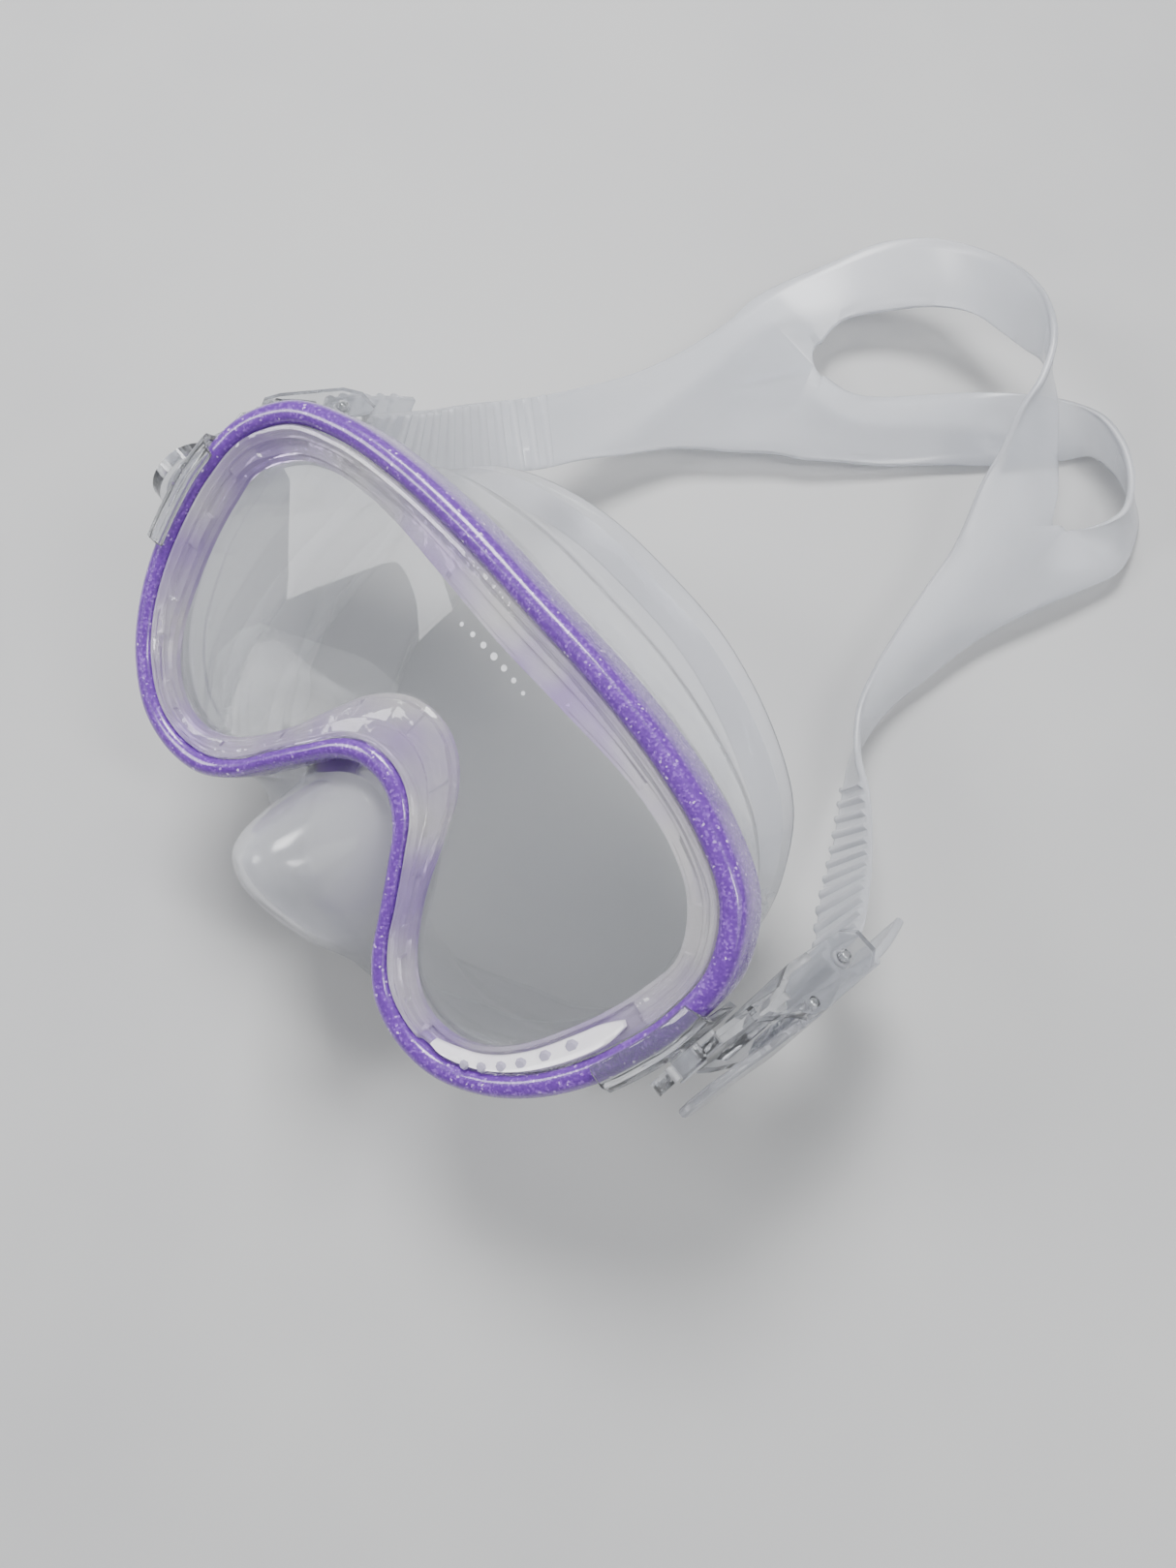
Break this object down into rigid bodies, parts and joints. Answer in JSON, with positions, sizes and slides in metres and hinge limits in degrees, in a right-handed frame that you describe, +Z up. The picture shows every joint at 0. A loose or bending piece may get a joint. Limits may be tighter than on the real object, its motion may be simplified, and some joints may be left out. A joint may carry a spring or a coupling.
{
  "type": "snorkel mask",
  "caption": "Snorkel mask: one lens in a coloured frame, soft skirt with nose pocket, swivelling side buckles with sprung release levers, and a split head strap.",
  "frame": {"origin": "the point on the table under the centre of the whole object's box", "axes": "+Z is up off the table, +X points to the wearer's left, across the lens, +Y runs from the mask towards the strap lying behind it; the lens faces up and towards -Y"},
  "size_m": [0.1794, 0.2474, 0.0896],
  "materials": {
    "skirt_silicone": "clear milky silicone, satin",
    "lens_glass": "clear tempered glass, polished",
    "purple_frame": "purple translucent plastic with fine glitter",
    "clear_bezel": "clear lavender tinted plastic, polished",
    "pearl_plastic": "pearly white plastic",
    "clear_gem": "faceted clear plastic",
    "strap_silicone": "clear milky silicone, glossy",
    "clear_buckle": "clear polycarbonate, polished",
    "clear_lever": "clear polycarbonate, lightly frosted",
    "roller_plastic": "white translucent acetal",
    "pin_plastic": "clear white plastic",
    "pin_steel": "stainless wire and pins"
  },
  "bodies": {
    "mask": {"face_skirt": "skirt_silicone", "lens": "lens_glass", "front_frame": "purple_frame", "inner_bezel": "clear_bezel", "pearl_inlay": "pearl_plastic", "gem_1": "clear_gem", "gem_2": "clear_gem", "gem_3": "clear_gem", "gem_4": "clear_gem", "gem_5": "clear_gem", "gem_6": "clear_gem", "strap": "strap_silicone", "buckle_bracket_right": "clear_buckle", "buckle_bracket_left": "clear_buckle", "swivel_pin_right": "pin_plastic", "swivel_pin_left": "pin_plastic"},
    "buckle_right": {"buckle_body_right": "clear_buckle", "roller_axle_right": "pin_steel", "lever_pin_right": "pin_steel", "lever_spring_right": "pin_steel"},
    "buckle_left": {"buckle_body_left": "clear_buckle", "roller_axle_left": "pin_steel", "lever_pin_left": "pin_steel", "lever_spring_left": "pin_steel"},
    "roller_right": {"strap_roller_right": "roller_plastic"},
    "roller_left": {"strap_roller_left": "roller_plastic"},
    "lever_right": {"release_lever_right": "clear_lever"},
    "lever_left": {"release_lever_left": "clear_lever"}
  },
  "joints": [
    {"name": "swivel_right", "type": "hinge", "parent": "mask", "child": "buckle_right", "pos_m": [0.0796, -0.0809, 0.0639], "axis": [1, 0, 0], "range_deg": [-15, 20], "deforming": ["strap"]},
    {"name": "swivel_left", "type": "hinge", "parent": "mask", "child": "buckle_left", "pos_m": [-0.0796, -0.0809, 0.0639], "axis": [1, 0, 0], "range_deg": [-15, 20], "deforming": ["strap"]},
    {"name": "lever_right", "type": "hinge", "parent": "buckle_right", "child": "lever_right", "pos_m": [0.08653, -0.06083, 0.0491], "axis": [0, -0.5931, -0.8051], "range_deg": [0, 5], "stiffness_Nm_per_rad": 0.02, "springref_deg": -8.59},
    {"name": "lever_left", "type": "hinge", "parent": "buckle_left", "child": "lever_left", "pos_m": [-0.08653, -0.06083, 0.0491], "axis": [0, 0.5931, 0.8051], "range_deg": [0, 5], "stiffness_Nm_per_rad": 0.02, "springref_deg": -8.59},
    {"name": "roller_right", "type": "hinge", "parent": "buckle_right", "child": "roller_right", "pos_m": [0.0838, -0.04727, 0.03909], "axis": [0, 0.5931, 0.8051], "continuous": true},
    {"name": "roller_left", "type": "hinge", "parent": "buckle_left", "child": "roller_left", "pos_m": [-0.0838, -0.04727, 0.03909], "axis": [0, 0.5931, 0.8051], "continuous": true}
  ]
}
